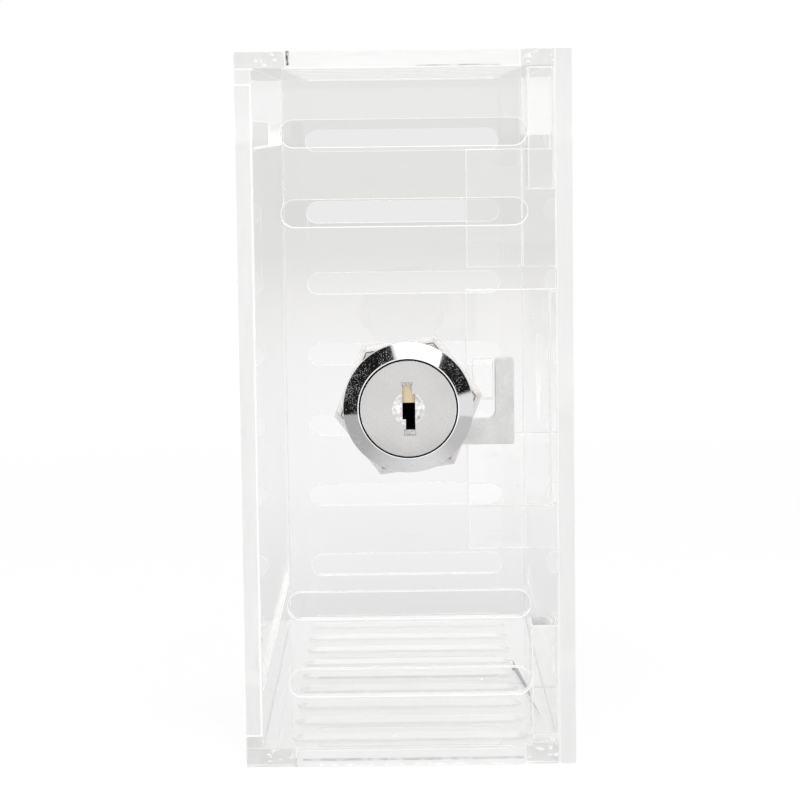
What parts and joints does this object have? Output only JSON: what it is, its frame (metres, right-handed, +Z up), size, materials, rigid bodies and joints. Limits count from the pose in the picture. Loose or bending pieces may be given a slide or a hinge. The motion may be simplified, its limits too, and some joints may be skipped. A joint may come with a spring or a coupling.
{
  "type": "thermostat lock box",
  "caption": "Clear acrylic thermostat guard box with vent slots, a keyed cam lock in one side and a back plate that screws to the wall.",
  "frame": {"origin": "centre of the back plate's wall face, midway between the four wall screws", "axes": "+X to the right as one faces the box, toward the side with the lock; +Y into the wall; +Z up"},
  "size_m": [0.1332, 0.0565, 0.1216],
  "materials": {
    "clear_acrylic": "clear polished cast acrylic, laser-cut edges",
    "polished_chrome": "polished chrome plate",
    "satin_chrome": "brushed face",
    "nickel_steel": "nickel-plated nut",
    "zinc_steel": "bright zinc plate",
    "wafer_brass": "stamped brass",
    "spring_steel": "drawn wire"
  },
  "bodies": {
    "back_plate_body": {"back_plate": "clear_acrylic", "upper_corner_cleat": "clear_acrylic", "lower_corner_cleat": "clear_acrylic", "upper_side_tongue": "clear_acrylic", "lower_side_tongue": "clear_acrylic", "strike_plate": "clear_acrylic", "strike_block": "clear_acrylic"},
    "cover_body": {"front_panel": "clear_acrylic", "top_panel": "clear_acrylic", "bottom_panel": "clear_acrylic", "left_panel": "clear_acrylic", "lock_panel": "clear_acrylic", "lock_body": "polished_chrome", "lock_nut": "nickel_steel"},
    "plug_body": {"lock_plug": "satin_chrome", "wafer_1": "wafer_brass", "wafer_2": "wafer_brass", "wafer_3": "wafer_brass", "wafer_4": "wafer_brass", "wafer_5": "wafer_brass", "wafer_springs": "spring_steel", "stop_washer": "zinc_steel", "cam": "zinc_steel", "cam_washer": "zinc_steel", "cam_screw": "zinc_steel"}
  },
  "joints": [
    {"name": "cover_off", "type": "slide", "parent": "back_plate_body", "child": "cover_body", "axis": [0, -1, 0], "range_m": [0, 0.06]},
    {"name": "key_turn", "type": "hinge", "parent": "cover_body", "child": "plug_body", "pos_m": [0.065, -0.028, 0.0009], "axis": [-1, 0, 0], "range_deg": [0, 90]}
  ]
}
